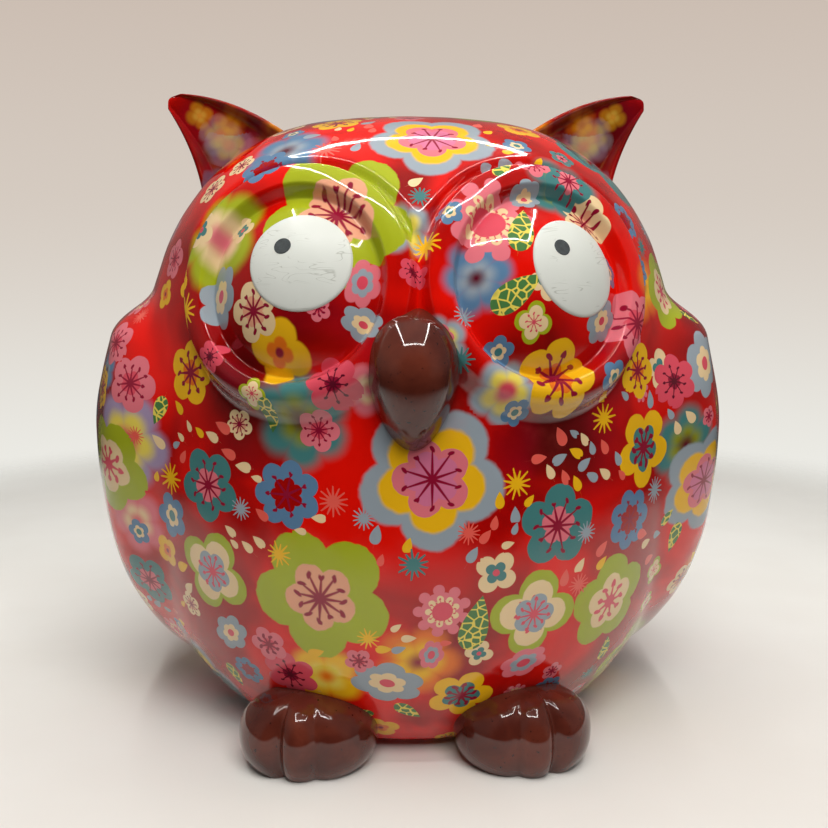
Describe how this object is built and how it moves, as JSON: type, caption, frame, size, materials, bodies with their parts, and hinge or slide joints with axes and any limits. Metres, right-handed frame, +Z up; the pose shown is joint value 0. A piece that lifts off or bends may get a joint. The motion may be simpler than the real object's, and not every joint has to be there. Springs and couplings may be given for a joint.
{
  "type": "figural animal coin bank",
  "caption": "Round glazed ceramic owl coin bank with folded wings, goggle eyes, a coin slot behind the head and a keyed lock cover in its base.",
  "frame": {"origin": "on the table, under the middle of the overall width and depth", "axes": "+Z up, the owl looks along -Y, +X to the right as seen from the front"},
  "size_m": [0.1914, 0.1879, 0.1864],
  "materials": {
    "floral_glaze": "high gloss, red ground with transfer blossoms",
    "brown_glaze": "high gloss, chocolate brown",
    "white_glaze": "gloss white enamel",
    "grey_enamel": "satin grey enamel",
    "raw_clay": "matt unglazed bisque",
    "plated_sheet": "zinc-plated pressed sheet",
    "plated_steel": "zinc-plated",
    "dark_steel": "oiled spring steel",
    "barrel_brass": "turned, satin",
    "black_rubber": "matt"
  },
  "bodies": {
    "bank": {"body_shell": "floral_glaze", "goggle_left": "floral_glaze", "goggle_right": "floral_glaze", "ear_left": "floral_glaze", "ear_right": "floral_glaze", "beak": "brown_glaze", "foot_left": "brown_glaze", "foot_right": "brown_glaze", "eye_white_left": "white_glaze", "eye_white_right": "white_glaze", "pupil_left": "grey_enamel", "pupil_right": "grey_enamel", "base_disc": "raw_clay"},
    "cover": {"lock_plate": "plated_sheet", "lock_gasket": "black_rubber", "bolt_guides": "plated_sheet", "guide_rivets": "dark_steel"},
    "barrel": {"lock_barrel": "barrel_brass", "barrel_clip": "dark_steel", "lock_cam": "plated_steel"},
    "bolt_left": {"bolt_left": "plated_steel"},
    "bolt_right": {"bolt_right": "plated_steel"}
  },
  "joints": [
    {"name": "cover_pull", "type": "slide", "parent": "bank", "child": "cover", "axis": [0, 0, -1], "range_m": [0, 0.06]},
    {"name": "barrel_turn", "type": "hinge", "parent": "cover", "child": "barrel", "pos_m": [0, 0.0079, 0.0134], "axis": [0, 0, 1], "range_deg": [0, 90]},
    {"name": "bolt_left_slide", "type": "slide", "parent": "cover", "child": "bolt_left", "axis": [-1, 0, 0], "range_m": [0, 0.005]},
    {"name": "bolt_right_slide", "type": "slide", "parent": "cover", "child": "bolt_right", "axis": [1, 0, 0], "range_m": [0, 0.005]}
  ],
  "couplings": [
    {"joint": "bolt_left_slide", "follows": "barrel_turn", "m_per_rad": 0.003183},
    {"joint": "bolt_right_slide", "follows": "barrel_turn", "m_per_rad": 0.003183}
  ]
}
